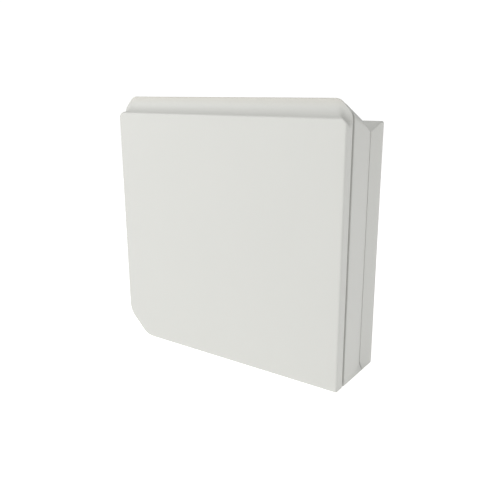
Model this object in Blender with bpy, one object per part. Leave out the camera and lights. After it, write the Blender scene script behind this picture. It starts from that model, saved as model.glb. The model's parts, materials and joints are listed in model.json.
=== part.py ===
"""Square flat-panel directional antenna with a tilting mast bracket.

Metres, +Z up.  The radiating face looks along -Y and +X is to the right of it.
The origin is the bottom centre of the whole object's box, and the housing
stands on its bottom edge.  "depth" is always counted backwards from the face.
"""
import math

import bmesh
import bpy
import numpy as np
from mathutils import Matrix, Vector

# Housing
WIDTH = 0.318
HEIGHT = 0.3164
DEPTH = 0.0951
WALL = 0.003
GAP = 0.0003

# Outline of the housing, seen from the front
SIDE_ROUND = 0.0025
CUT_BASE = 0.0305
CUT_BASE_EASE = 0.0105
CUT_TOP_FACE = 0.0040
CUT_TOP_RIDGE = 0.0147
CUT_TOP_REAR = 0.0016
CUT_EASE_SHARE = 0.35
RECESS_FADE = 0.010

# Layers of the housing, front to back
FACE_TOP = 0.2975
FACE_WALL = 0.003
RIDGE_DEPTH = 0.0121
RIDGE_ROUND = 0.0012
RADOME_DEPTH = 0.0135
RADOME_BORDER = 0.009
FRAME_FRONT = 0.0183
SIDE_BREAK = 0.0447
VALLEY_DEPTH = 0.0661
VALLEY_TOP = 0.2818
VALLEY_RECESS = 0.0038
CASE_FRONT = 0.0676
RIM_DEPTH = 0.0836
RIM_TOP = 0.2907
BACK_ROUND = 0.0028
BACK_WALL = DEPTH - WALL

# Seals
GROOVE_RECESS = 0.0042
RADOME_SEAL_WIDTH = 0.0038
HOUSING_SEAL_RECESS = 0.0011
HOUSING_SEAL_WIDTH = 0.0016

# Frame ledges and screw places
FLANGE_BACK = 0.0213
FLANGE_WIDTH = 0.0215
LEDGE_FRONT = 0.0403
LEDGE_BACK = 0.0433
LEDGE_WIDTH = 0.0205
BOSS_RADIUS = 0.0058
RADOME_BOSS_RADIUS = 0.0065
CASE_SCREWS = [(side * x, z) for side in (-1, 1) for x, z in
               ((0.1445, 0.058), (0.1445, 0.258), (0.052, 0.0130))]
CASE_SCREW_TIP = 0.0060
CASE_SCREW_SEAT = DEPTH - 0.0037
REFLECTOR_SCREWS = [(side * 0.1450, z) for side in (-1, 1) for z in (0.105, 0.205)]

# Radiating stack
STACK_CENTRE = 0.150
STACK_PITCH = 0.124
STACKS = [(sx * STACK_PITCH / 2, STACK_CENTRE + sz * STACK_PITCH / 2)
          for sz in (1, -1) for sx in (-1, 1)]
REFLECTOR_FRONT = 0.0385
REFLECTOR_BACK = 0.0400
REFLECTOR_INSET = 0.0046
BOARD_FRONT = 0.0372
BOARD_BACK = 0.0382
BOARD_SIDE = 0.160
LINE_FRONT = 0.0365
LINE_BACK = 0.0369
LINE_WIDTH = 0.004
DRIVEN_FRONT = 0.0290
DRIVEN_BACK = 0.0298
DRIVEN_SIDE = 0.054
DIRECTOR_FRONT = 0.0120
DIRECTOR_BACK = 0.0128
DIRECTOR_SIDE = 0.046
PATCH_CUT = 0.006
LINE_OVERLAP = 0.010
POST_BASE_RADIUS = 0.0045
POST_RADIUS = 0.0030
POST_NECK_RADIUS = 0.0016
STACK_HOLE = 0.0019
DRIVEN_HOLE = 0.0035
FEED_HOLE = 0.006

# Coaxial connector, low on the back
CONNECTOR_Z = 0.050
CONNECTOR_HOLE = 0.0083
CONNECTOR_END = DEPTH + 0.0199
FERRULE_FRONT = BACK_WALL - 0.0116
CABLE_RADIUS = 0.0018

# Pressure vent
VENT_X = 0.095
VENT_Z = 0.050
VENT_HOLE = 0.0040

# Mast bracket
PIVOT_DEPTH = DEPTH + 0.0214
PIVOT_Z = 0.150
SHEET = 0.0025
BASE_WIDTH = 0.100
BASE_HEIGHT = 0.096
BASE_FRONT = DEPTH + GAP
BACKING_SIDE = 0.088
BOLT_X = 0.030
BOLT_Z = 0.034
OUTER_EAR = 0.0415
INNER_EAR = 0.0385
EAR_REACH = 0.0165
LOCK_RADIUS = 0.028
EAR_ROUND = 0.0075
PIVOT_EAR_ROUND = 0.0095
TILT_LIMIT = math.radians(20)
WEB_FRONT = PIVOT_DEPTH + 0.0145
WEB_HEIGHT = 0.090
WEB_HALF_WIDTH = 0.0400

# Mast clamp
SADDLE_FRONT = WEB_FRONT + SHEET + GAP
SADDLE_HALF_WIDTH = 0.036
SADDLE_BASE = 0.004
SADDLE_HEIGHT = 0.014
SADDLE_DEPTH = 0.0164
NOTCH_HALF_WIDTH = 0.0215
CLAMP_OFFSET = 0.022
ROD_RADIUS = 0.003
U_RADIUS = 0.029
U_CENTRE = PIVOT_DEPTH + 0.0365
ROD_END = PIVOT_DEPTH + 0.0030

OVERALL_DEPTH = U_CENTRE + U_RADIUS + ROD_RADIUS
FACE_Y = -OVERALL_DEPTH / 2

# Sides of round pieces, in multiples of six where a hexagon meets them
ROUND = 18
SMALL_ROUND = 12
TINY_ROUND = 8


# ---------------------------------------------------------------- materials

def make_material(name, colour, roughness, metallic=0.0):
    material = bpy.data.materials.new(name)
    material.use_nodes = True
    shader = material.node_tree.nodes["Principled BSDF"]
    shader.inputs["Base Color"].default_value = (*colour, 1.0)
    shader.inputs["Roughness"].default_value = roughness
    shader.inputs["Metallic"].default_value = metallic
    return material


FINISHES = {
    "white_plastic": ((0.72, 0.72, 0.68), 0.45, 0.0),
    "vent_plastic": ((0.16, 0.16, 0.17), 0.6, 0.0),
    "seal_rubber": ((0.42, 0.42, 0.40), 0.7, 0.0),
    "natural_nylon": ((0.80, 0.78, 0.70), 0.5, 0.0),
    "circuit_board": ((0.05, 0.22, 0.10), 0.4, 0.0),
    "copper": ((0.72, 0.38, 0.22), 0.3, 1.0),
    "sheet_aluminium": ((0.75, 0.76, 0.77), 0.4, 1.0),
    "stainless_steel": ((0.62, 0.62, 0.60), 0.3, 1.0),
    "plated_brass": ((0.70, 0.68, 0.62), 0.25, 1.0),
    "brass": ((0.75, 0.58, 0.26), 0.3, 1.0),
    "cable_jacket": ((0.35, 0.20, 0.12), 0.4, 0.0),
    "insulator": ((0.88, 0.88, 0.86), 0.5, 0.0),
}


def finish(obj, slot):
    """Give an object its own material of the named finish, and its shading."""
    obj.data.materials.append(make_material(f"{obj.name}_{slot}", *FINISHES[slot]))
    if obj.type == "MESH":
        obj.data.shade_smooth()
        obj.data.set_sharp_from_angle(angle=math.radians(35))
    return obj


# ---------------------------------------------------------------- mesh tools

def add_object(name, bm):
    """Turn a bmesh into an object of the scene with its faces pointing out."""
    bmesh.ops.recalc_face_normals(bm, faces=bm.faces)
    mesh = bpy.data.meshes.new(name)
    bm.to_mesh(mesh)
    bm.free()
    obj = bpy.data.objects.new(name, mesh)
    bpy.context.scene.collection.objects.link(obj)
    return obj


def skin(bm, loops, ring=False):
    """Join matching loops with quads, and cap both ends unless they close into a ring."""
    rows = [[bm.verts.new(point) for point in points] for points in loops]
    following = rows[1:] + rows[:1] if ring else rows[1:]
    for first, second in zip(rows, following):
        for corners in zip(first, first[1:] + first[:1], second[1:] + second[:1], second):
            bm.faces.new(corners)
    if not ring:
        bm.faces.new(rows[0])
        bm.faces.new(rows[-1])


def facing(axis, x, depth, z):
    """Matrix that stands local +Z along a world axis, at a place on the object."""
    turn = Vector((0, 0, 1)).rotation_difference(Vector(axis)).to_matrix().to_4x4()
    return Matrix.Translation((x, FACE_Y + depth, z)) @ turn


def circle(radius, height, count):
    return [Vector((radius * math.cos(a), radius * math.sin(a), height))
            for a in (math.tau * i / count for i in range(count))]


def hexagon(half_flats, height, count):
    """Hexagon with as many points as a circle, so that the two can be bridged."""
    points = []
    for i in range(count):
        angle = math.tau * i / count
        off_flat = (angle % (math.pi / 3)) - math.pi / 6
        reach = half_flats / math.cos(off_flat)
        points.append(Vector((reach * math.cos(angle), reach * math.sin(angle), height)))
    return points


def add_turned(bm, place, sections, count=ROUND, ring=False):
    """Add a bolt, post, nut or ring: sections are (shape, size, height) along its axis."""
    skin(bm, [[place @ p for p in shape(size, height, count)]
              for shape, size, height in sections], ring)


def washer_sections(outer, inner, low, high, shape=circle):
    return [(shape, outer, low), (shape, outer, high), (circle, inner, high), (circle, inner, low)]


def add_plate(bm, outline, start, end, place):
    """Add a flat outline, drawn in local X and Y, extruded along local Z."""
    skin(bm, [[place @ Vector((u, v, height)) for u, v in outline] for height in (start, end)])


def modify(obj, operation, tool):
    """Join a tool to an object or cut it out, and keep the tool out of the model."""
    tool.hide_render = True
    tool.display_type = "WIRE"
    boolean = obj.modifiers.new(operation.lower(), "BOOLEAN")
    boolean.operation = operation
    boolean.solver = "EXACT"
    boolean.object = tool


def drill(obj, holes, count=TINY_ROUND):
    """Cut round holes; each is (x, z, radius, first depth, last depth) along +Y."""
    bm = bmesh.new()
    for x, z, radius, start, end in holes:
        sections = [(circle, radius, 0), (circle, radius, end - start)]
        add_turned(bm, facing((0, 1, 0), x, start, z), sections, count)
    modify(obj, "DIFFERENCE", add_object(f"{obj.name}_drill", bm))


# ---------------------------------------------------------------- housing outline

def top_profile():
    """Depth and height of the housing's top edge: cove, ridge, slope, valley and rim."""
    rise = HEIGHT - RIDGE_ROUND - FACE_TOP
    cove = [(RIDGE_DEPTH * math.sin(a), FACE_TOP + rise * (1 - math.cos(a)))
            for a in np.radians(np.linspace(0, 90, 7))]
    ridge = [(RIDGE_DEPTH + RIDGE_ROUND * (1 - math.cos(a)), HEIGHT - RIDGE_ROUND * (1 - math.sin(a)))
             for a in np.radians((30, 60, 90))]
    return cove + ridge + [(VALLEY_DEPTH, VALLEY_TOP), (CASE_FRONT, VALLEY_TOP),
                           (RIM_DEPTH, RIM_TOP), (DEPTH, RIM_TOP)]


TOP = top_profile()
COVE_DEPTHS = [depth for depth, _ in TOP if 0.001 < depth < RADOME_DEPTH]


def top_at(depth):
    return float(np.interp(depth, *zip(*TOP)))


def half_width_at(depth):
    breaks = (SIDE_BREAK, VALLEY_DEPTH, CASE_FRONT, RIM_DEPTH)
    half = WIDTH / 2
    return float(np.interp(depth, breaks, (half, half - VALLEY_RECESS, half - VALLEY_RECESS, half)))


def top_cut_at(depth):
    stations = (0, RIDGE_DEPTH, VALLEY_DEPTH)
    return float(np.interp(depth, stations, (CUT_TOP_FACE, CUT_TOP_RIDGE, CUT_TOP_REAR)))


def eased_cut(corner, before, after, size, ease, steps):
    """Points that cut a square corner at 45 degrees, with both ends of the cut rounded."""
    corner, before, after = Vector(corner), Vector(before), Vector(after)
    first, last = corner + before * size, corner + after * size
    along = (last - first).normalized()
    points = []
    for start, bend, end in ((first + before * ease, first, first + along * ease),
                             (last - along * ease, last, last + after * ease)):
        for t in np.linspace(0, 1, steps):
            points.append(start * (1 - t) ** 2 + bend * 2 * t * (1 - t) + end * t ** 2)
    return points


def housing_loop(depth, inset=0.0):
    """The housing's outline at a depth, moved inwards by an inset.

    The recess of the sides fades out just above the base.
    """
    half = half_width_at(depth) - inset
    base_half = WIDTH / 2 - inset
    top = top_at(depth) - inset
    cut_loss = inset * (2 - math.sqrt(2))
    cut_top = max(top_cut_at(depth) - cut_loss, 0.0006)
    ease_top = cut_top * CUT_EASE_SHARE
    cut_base = CUT_BASE - cut_loss
    side = max(SIDE_ROUND - cut_loss, 0.0008)
    left, right, up, down = (-1, 0), (1, 0), (0, 1), (0, -1)
    points = eased_cut((base_half, inset), left, up, side * 0.6, side * 0.3, 2)
    points.append((half, RECESS_FADE))
    points += eased_cut((half, top), down, left, cut_top, ease_top, 3)
    points += eased_cut((-half, top), right, down, cut_top, ease_top, 3)
    points.append((-half, CUT_BASE + CUT_BASE_EASE + RECESS_FADE))
    points += eased_cut((-base_half, inset), up, right, cut_base, CUT_BASE_EASE, 6)
    return [(x, FACE_Y + depth, z) for x, z in points]


def shell(name, loops, ring=False):
    bm = bmesh.new()
    skin(bm, [housing_loop(depth, inset) for depth, inset in loops], ring)
    return add_object(name, bm)


# ---------------------------------------------------------------- housing pieces

def boss(bm, x, z, start, end, radius):
    sections = [(circle, radius, 0), (circle, radius, end - start)]
    add_turned(bm, facing((0, 1, 0), x, start, z), sections, SMALL_ROUND)


def make_radome():
    """Front cover: flat face, coved top, and a thick border with bosses for the long screws."""
    outer = [(0, 0.0010), (0.0003, 0.0003), (0.0010, 0)] + [(d, 0) for d in COVE_DEPTHS]
    inner = [(RADOME_DEPTH, 0), (RADOME_DEPTH, RADOME_BORDER), (FACE_WALL, RADOME_BORDER)]
    radome = shell("front_radome", outer + inner)
    bm = bmesh.new()
    for x, z in CASE_SCREWS:
        boss(bm, x, z, FACE_WALL - 0.001, RADOME_DEPTH - 0.0002, RADOME_BOSS_RADIUS)
    modify(radome, "UNION", add_object("radome_bosses", bm))
    drill(radome, [(x, z, 0.0021, CASE_SCREW_TIP - 0.0005, RADOME_DEPTH + 0.001) for x, z in CASE_SCREWS])
    finish(radome, "white_plastic")


def make_frame():
    """Middle of the housing: side walls, a front flange for the radome, and the reflector ledge."""
    outer = [(FRAME_FRONT, 0.0006), (FRAME_FRONT + 0.0006, 0), (0.030, 0), (SIDE_BREAK, 0),
             (VALLEY_DEPTH, 0)]
    inner = [(VALLEY_DEPTH, WALL), (LEDGE_BACK, WALL), (LEDGE_BACK, LEDGE_WIDTH),
             (LEDGE_FRONT, LEDGE_WIDTH), (LEDGE_FRONT, WALL), (FLANGE_BACK, WALL),
             (FLANGE_BACK, FLANGE_WIDTH), (FRAME_FRONT, FLANGE_WIDTH)]
    frame = shell("antenna_frame", outer + inner, ring=True)
    bm = bmesh.new()
    for x, z in CASE_SCREWS:
        boss(bm, x, z, LEDGE_BACK - 0.001, VALLEY_DEPTH - GAP, BOSS_RADIUS)
    modify(frame, "UNION", add_object("frame_bosses", bm))
    holes = [(x, z, 0.0024, FRAME_FRONT - 0.001, VALLEY_DEPTH + 0.001) for x, z in CASE_SCREWS]
    holes += [(x, z, 0.0019, LEDGE_FRONT - 0.001, LEDGE_BACK + 0.001) for x, z in REFLECTOR_SCREWS]
    drill(frame, holes)
    finish(frame, "white_plastic")


def make_rear_case():
    """Rear of the housing, with its screw columns and the holes for bracket, connector and vent."""
    outer = [(DEPTH, BACK_ROUND), (DEPTH - 0.3 * BACK_ROUND, 0.3 * BACK_ROUND), (DEPTH - BACK_ROUND, 0),
             (RIM_DEPTH, 0), (CASE_FRONT, 0)]
    inner = [(CASE_FRONT, WALL), (RIM_DEPTH, WALL), (BACK_WALL, WALL)]
    case = shell("rear_case", outer + inner)
    bm = bmesh.new()
    for x, z in CASE_SCREWS:
        boss(bm, x, z, CASE_FRONT + GAP, BACK_WALL + 0.001, BOSS_RADIUS)
    modify(case, "UNION", add_object("case_bosses", bm))
    holes = [(x, z, 0.0024, CASE_FRONT - 0.001, DEPTH - 0.003) for x, z in CASE_SCREWS]
    holes += [(x, z, 0.0036, BACK_WALL - 0.001, DEPTH + 0.001) for x, z in bracket_bolt_places()]
    drill(case, holes)
    sinks = [(x, z, 0.0047, DEPTH - 0.0040, DEPTH + 0.001) for x, z in CASE_SCREWS]
    drill(case, sinks, SMALL_ROUND)
    openings = [(0, CONNECTOR_Z, CONNECTOR_HOLE), (VENT_X, VENT_Z, VENT_HOLE)]
    drill(case, [(x, z, radius, BACK_WALL - 0.001, DEPTH + 0.001) for x, z, radius in openings], ROUND)
    finish(case, "white_plastic")


def make_seals():
    start, end = RADOME_DEPTH + GAP, FRAME_FRONT - GAP
    inside = GROOVE_RECESS + RADOME_SEAL_WIDTH
    loops = [(start, GROOVE_RECESS), (end, GROOVE_RECESS), (end, inside), (start, inside)]
    finish(shell("radome_gasket", loops, ring=True), "seal_rubber")
    start, end = VALLEY_DEPTH + GAP, CASE_FRONT - GAP
    inside = HOUSING_SEAL_RECESS + HOUSING_SEAL_WIDTH
    loops = [(start, HOUSING_SEAL_RECESS), (end, HOUSING_SEAL_RECESS), (end, inside), (start, inside)]
    finish(shell("housing_gasket", loops, ring=True), "seal_rubber")


def screw_sections(head_radius, head_height, radius, length):
    """Screw with the seat of its head at the local origin and its shank along local -Z."""
    return [(circle, radius, -length), (circle, radius, 0), (circle, head_radius, 0),
            (circle, head_radius * 0.85, head_height)]


def make_turned(name, place, sections, slot, count=SMALL_ROUND, ring=False):
    """One bolt, post, nut or ring as an object of its own."""
    bm = bmesh.new()
    add_turned(bm, place, sections, count, ring)
    finish(add_object(name, bm), slot)


def make_housing_screws():
    long_screw = screw_sections(0.0041, 0.0028, 0.0017, CASE_SCREW_SEAT - CASE_SCREW_TIP)
    for number, (x, z) in enumerate(CASE_SCREWS, 1):
        place = facing((0, 1, 0), x, CASE_SCREW_SEAT, z)
        make_turned(f"case_screw_{number}", place, long_screw, "stainless_steel")
    short_screw = screw_sections(0.0032, 0.0020, 0.0015, 0.0070)
    for number, (x, z) in enumerate(REFLECTOR_SCREWS, 1):
        place = facing((0, -1, 0), x, REFLECTOR_FRONT - GAP, z)
        make_turned(f"reflector_screw_{number}", place, short_screw, "stainless_steel", TINY_ROUND)


# ---------------------------------------------------------------- radiating stack

def square(side, cut, x=0.0, z=0.0):
    """Square with cut corners, anticlockwise, in X and Z."""
    h, c = side / 2, side / 2 - cut
    corners = [(h, -c), (h, c), (c, h), (-c, h), (-h, c), (-h, -c), (-c, -h), (c, -h)]
    return [(x + u, z + v) for u, v in corners]


def flat_piece(name, outline, front, back, holes, slot):
    """Flat plate that faces the front, drilled through."""
    bm = bmesh.new()
    skin(bm, [[(x, FACE_Y + depth, z) for x, z in outline] for depth in (front, back)])
    plate = add_object(name, bm)
    if holes:
        drill(plate, [(x, z, radius, front - 0.001, back + 0.001) for x, z, radius in holes])
    finish(plate, slot)


def make_reflector():
    outline = [(x, z) for x, _, z in housing_loop(LEDGE_FRONT, REFLECTOR_INSET)]
    holes = [(x, z, 0.0021) for x, z in REFLECTOR_SCREWS] + [(x, z, STACK_HOLE) for x, z in STACKS]
    holes += [(x, z, 0.0026) for x, z in CASE_SCREWS] + [(0, STACK_CENTRE, FEED_HOLE)]
    flat_piece("reflector_plate", outline, REFLECTOR_FRONT, REFLECTOR_BACK, holes, "sheet_aluminium")


def make_feed():
    """Feed board and, in front of it, the branching line that couples to the four driven patches."""
    holes = [(x, z, STACK_HOLE) for x, z in STACKS]
    flat_piece("feed_board", square(BOARD_SIDE, 0.012, 0, STACK_CENTRE), BOARD_FRONT, BOARD_BACK,
               holes, "circuit_board")
    arm = STACK_PITCH / 2 - LINE_OVERLAP
    rise = STACK_PITCH / 2
    half = LINE_WIDTH / 2
    upper = [(arm + half, rise), (arm - half, rise), (arm - half, half)]
    upper += [(-x, z) for x, z in reversed(upper)]
    outline = upper + [(x, -z) for x, z in reversed(upper)]
    line = [(x, STACK_CENTRE + z) for x, z in outline]
    flat_piece("feed_lines", line, LINE_FRONT, LINE_BACK, [], "copper")


def make_patches():
    for number, (x, z) in enumerate(STACKS, 1):
        flat_piece(f"driven_patch_{number}", square(DRIVEN_SIDE, PATCH_CUT, x, z),
                   DRIVEN_FRONT, DRIVEN_BACK, [(x, z, DRIVEN_HOLE)], "copper")
        flat_piece(f"director_patch_{number}", square(DIRECTOR_SIDE, PATCH_CUT, x, z),
                   DIRECTOR_FRONT, DIRECTOR_BACK, [(x, z, STACK_HOLE)], "copper")


def make_posts():
    """Stepped nylon posts, staked behind the reflector and in front of the directors."""
    steps = [(0.0026, REFLECTOR_BACK + 0.0020), (0.0026, REFLECTOR_BACK + GAP),
             (POST_NECK_RADIUS, REFLECTOR_BACK + GAP), (POST_NECK_RADIUS, BOARD_FRONT - GAP),
             (POST_BASE_RADIUS, BOARD_FRONT - GAP), (POST_BASE_RADIUS, DRIVEN_BACK + GAP),
             (POST_RADIUS, DRIVEN_BACK + GAP), (POST_RADIUS, DIRECTOR_BACK + GAP),
             (POST_NECK_RADIUS, DIRECTOR_BACK + GAP), (POST_NECK_RADIUS, DIRECTOR_FRONT - GAP),
             (0.0028, DIRECTOR_FRONT - GAP), (0.0020, DIRECTOR_FRONT - 0.0015)]
    sections = [(circle, radius, depth) for radius, depth in steps]
    for number, (x, z) in enumerate(STACKS, 1):
        place = facing((0, 1, 0), x, 0, z)
        make_turned(f"stack_post_{number}", place, sections, "natural_nylon", TINY_ROUND)


# ---------------------------------------------------------------- connector, cable and vent

def make_cable():
    """Semi-rigid jumper from the feed board's centre to the back of the connector."""
    route = [Vector((0, BOARD_BACK + 0.0005, STACK_CENTRE)), Vector((0, 0.046, STACK_CENTRE)),
             Vector((0, 0.056, STACK_CENTRE - 0.006)), Vector((0, 0.060, STACK_CENTRE - 0.022)),
             Vector((0, 0.060, CONNECTOR_Z + 0.030)), Vector((0, 0.061, CONNECTOR_Z + 0.012)),
             Vector((0, 0.068, CONNECTOR_Z + 0.002)), Vector((0, FERRULE_FRONT - 0.0005, CONNECTOR_Z))]
    curve = bpy.data.curves.new("jumper_cable", "CURVE")
    curve.dimensions = "3D"
    curve.bevel_depth = CABLE_RADIUS
    curve.bevel_resolution = 2
    curve.use_fill_caps = True
    points = smooth_route(route, 4)
    spline = curve.splines.new("POLY")
    spline.points.add(len(points) - 1)
    for target, (x, depth, z) in zip(spline.points, points):
        target.co = (x, FACE_Y + depth, z, 1)
    cable = bpy.data.objects.new("jumper_cable", curve)
    bpy.context.scene.collection.objects.link(cable)
    finish(cable, "cable_jacket")


def smooth_route(points, steps):
    """Points of a smooth curve through the given ones."""
    ends = [points[0] * 2 - points[1]] + points + [points[-1] * 2 - points[-2]]
    result = []
    for a, b, c, d in zip(ends, ends[1:], ends[2:], ends[3:]):
        for i in range(steps):
            t = i / steps
            result.append(0.5 * ((2 * b) + (c - a) * t + (2 * a - 5 * b + 4 * c - d) * t ** 2
                                 + (3 * b - a - 3 * c + d) * t ** 3))
    return result + [points[-1]]


def make_connector():
    """Bulkhead jack: ferrule and flange inside the case, threaded barrel outside it."""
    place = facing((0, 1, 0), 0, 0, CONNECTOR_Z)
    flange = BACK_WALL - 0.0052
    body = [(circle, 0.0036, FERRULE_FRONT), (circle, 0.0036, flange - 0.002),
            (circle, 0.0060, flange - 0.002), (circle, 0.0060, flange),
            (hexagon, 0.0100, flange), (hexagon, 0.0100, flange + 0.0036),
            (circle, 0.0079, flange + 0.0036), (circle, 0.0079, CONNECTOR_END - 0.0008),
            (circle, 0.0072, CONNECTOR_END), (circle, 0.0052, CONNECTOR_END),
            (circle, 0.0052, CONNECTOR_END - 0.0120), (circle, 0.0022, CONNECTOR_END - 0.0120),
            (circle, 0.0022, FERRULE_FRONT)]
    make_turned("connector_body", place, body, "plated_brass", ROUND, ring=True)
    start = CONNECTOR_END - 0.0117
    insulator = washer_sections(0.0049, 0.0018, start, start + 0.0040)
    make_turned("connector_insulator", place, insulator, "insulator", SMALL_ROUND, ring=True)
    contact = [(circle, 0.0015, FERRULE_FRONT + 0.0015), (circle, 0.0015, CONNECTOR_END - 0.0056),
               (circle, 0.0011, CONNECTOR_END - 0.0050)]
    make_turned("connector_contact", place, contact, "brass")
    seal = washer_sections(0.0098, 0.0083, flange + 0.0039, BACK_WALL - GAP)
    make_turned("connector_seal", place, seal, "seal_rubber", ROUND, ring=True)
    seat = DEPTH + GAP
    nut = [(circle, 0.0128, seat), (circle, 0.0128, seat + 0.0009), (hexagon, 0.0110, seat + 0.0009),
           (hexagon, 0.0110, seat + 0.0050), (circle, 0.0082, seat + 0.0050), (circle, 0.0082, seat)]
    make_turned("connector_nut", place, nut, "plated_brass", ROUND, ring=True)


def make_vent():
    place = facing((0, 1, 0), VENT_X, 0, VENT_Z)
    cap = DEPTH + 0.0018
    plug = [(circle, 0.0046, BACK_WALL - 0.0022), (circle, 0.0046, BACK_WALL - GAP),
            (circle, 0.0036, BACK_WALL - GAP), (circle, 0.0036, cap), (circle, 0.0080, cap),
            (circle, 0.0080, cap + 0.0026), (circle, 0.0070, cap + 0.0036)]
    make_turned("vent_plug", place, plug, "vent_plastic", ROUND)
    seal = washer_sections(0.0062, 0.0040, DEPTH + GAP, cap - GAP)
    make_turned("vent_seal", place, seal, "seal_rubber", ROUND, ring=True)


# ---------------------------------------------------------------- mast bracket

def bracket_bolt_places():
    return [(sx * BOLT_X, PIVOT_Z + sz * BOLT_Z) for sx in (-1, 1) for sz in (-1, 1)]


def ear_place(x):
    """Frame at the pivot whose local X is depth, local Y is height and local Z runs along +X."""
    columns = Matrix(((0, 0, 1), (1, 0, 0), (0, 1, 0))).to_4x4()
    return Matrix.Translation((x, FACE_Y + PIVOT_DEPTH, PIVOT_Z)) @ columns


def arc(centre, radius, start, end, steps):
    return [(centre[0] + radius * math.cos(a), centre[1] + radius * math.sin(a))
            for a in np.radians(np.linspace(start, end, steps))]


def outer_ear():
    """Panel-side ear, anticlockwise in depth and height about the pivot."""
    front = BASE_FRONT + SHEET / 2 - PIVOT_DEPTH
    top = LOCK_RADIUS + EAR_ROUND + 0.004
    reach = EAR_REACH
    outline = [(front, -0.034), (front + 0.012, -0.030)]
    outline += arc((reach - 0.012, -0.008), 0.012, -70, 0, 5)
    outline += arc((reach - 0.007, top - 0.007), 0.007, 0, 90, 5)
    return outline + [(front + 0.006, top), (front, top + 0.003)]


def slot_outline():
    """Curved slot about the pivot that the lock bolt slides in."""
    half = 0.0034
    reach = math.degrees(TILT_LIMIT) + 1.0
    outer = arc((0, 0), LOCK_RADIUS + half, 90 - reach, 90 + reach, 9)
    inner = arc((0, 0), LOCK_RADIUS - half, 90 + reach, 90 - reach, 9)
    middle = math.radians(90 + reach)
    far = (LOCK_RADIUS * math.cos(middle), LOCK_RADIUS * math.sin(middle))
    near = (-far[0], far[1])
    far_end = arc(far, half, 90 + reach, 270 + reach, 7)[1:-1]
    near_end = arc(near, half, -90 - reach, 90 - reach, 7)[1:-1]
    return outer + far_end + inner + near_end


def make_panel_bracket():
    bm = bmesh.new()
    outline = square(BASE_HEIGHT, 0.004)
    stretched = [(x + math.copysign((BASE_WIDTH - BASE_HEIGHT) / 2, x), PIVOT_Z + z) for x, z in outline]
    skin(bm, [[(x, FACE_Y + BASE_FRONT + d, z) for x, z in stretched] for d in (0, SHEET)])
    bracket = add_object("panel_bracket", bm)
    bm = bmesh.new()
    for x in (OUTER_EAR, -OUTER_EAR - SHEET):
        add_plate(bm, outer_ear(), 0, SHEET, ear_place(x))
    modify(bracket, "UNION", add_object("bracket_ears", bm))
    bm = bmesh.new()
    for x in (OUTER_EAR - 0.002, -OUTER_EAR - SHEET - 0.002):
        add_plate(bm, slot_outline(), 0, SHEET + 0.004, ear_place(x))
        add_plate(bm, arc((0, 0), 0.0044, 0, 345, ROUND), 0, SHEET + 0.004, ear_place(x))
    modify(bracket, "DIFFERENCE", add_object("bracket_slots", bm))
    drill(bracket, [(x, z, 0.0034, BASE_FRONT - 0.001, BASE_FRONT + SHEET + 0.001)
                    for x, z in bracket_bolt_places()])
    finish(bracket, "sheet_aluminium")


def make_backing_plate():
    """Plate inside the case that the bracket's bolts screw into."""
    back = BACK_WALL - GAP
    holes = [(x, z, 0.0034) for x, z in bracket_bolt_places()]
    flat_piece("backing_plate", square(BACKING_SIDE, 0.006, 0, PIVOT_Z), back - SHEET, back,
               holes, "sheet_aluminium")


def inner_ear():
    """Mast-side ear: a rounded arm round the pivot and the lock bolt, widening to the web."""
    web = WEB_FRONT + SHEET / 2 - PIVOT_DEPTH
    half = WEB_HEIGHT / 2 - 0.0005
    outline = [(web, -half), (web, half), (web - 0.005, half)]
    outline += arc((0, LOCK_RADIUS), EAR_ROUND, 95, 180, 6)
    outline += arc((0, 0), PIVOT_EAR_ROUND, 180, 270, 6)
    return outline + [(web - 0.005, -half)]


def make_mast_bracket():
    bm = bmesh.new()
    half = WEB_HEIGHT / 2
    corners = [(-WEB_HALF_WIDTH, -half), (WEB_HALF_WIDTH, -half), (WEB_HALF_WIDTH, half),
               (-WEB_HALF_WIDTH, half)]
    skin(bm, [[(x, FACE_Y + WEB_FRONT + d, PIVOT_Z + z) for x, z in corners] for d in (0, SHEET)])
    bracket = add_object("mast_bracket", bm)
    bm = bmesh.new()
    for x in (INNER_EAR, -INNER_EAR - SHEET):
        add_plate(bm, inner_ear(), 0, SHEET, ear_place(x))
    modify(bracket, "UNION", add_object("mast_ears", bm))
    bm = bmesh.new()
    for x in (INNER_EAR - 0.002, -INNER_EAR - SHEET - 0.002):
        for height, radius in ((0, 0.0044), (LOCK_RADIUS, 0.0034)):
            add_plate(bm, arc((0, height), radius, 0, 345, ROUND), 0, SHEET + 0.004, ear_place(x))
    modify(bracket, "DIFFERENCE", add_object("mast_ear_holes", bm))
    drill(bracket, [(sx * U_RADIUS, PIVOT_Z + sz * CLAMP_OFFSET, ROD_RADIUS + 0.0005,
                     WEB_FRONT - 0.001, WEB_FRONT + SHEET + 0.001) for sx in (-1, 1) for sz in (-1, 1)])
    finish(bracket, "sheet_aluminium")


def make_bracket_bolts():
    seat = BASE_FRONT + SHEET + GAP
    bolt = [(circle, 0.0030, -0.0135), (circle, 0.0030, 0), (circle, 0.0066, 0), (circle, 0.0066, 0.0012),
            (hexagon, 0.0050, 0.0012), (hexagon, 0.0050, 0.0045)]
    for number, (x, z) in enumerate(bracket_bolt_places(), 1):
        make_turned(f"bracket_bolt_{number}", facing((0, 1, 0), x, seat, z), bolt, "stainless_steel")


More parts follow.
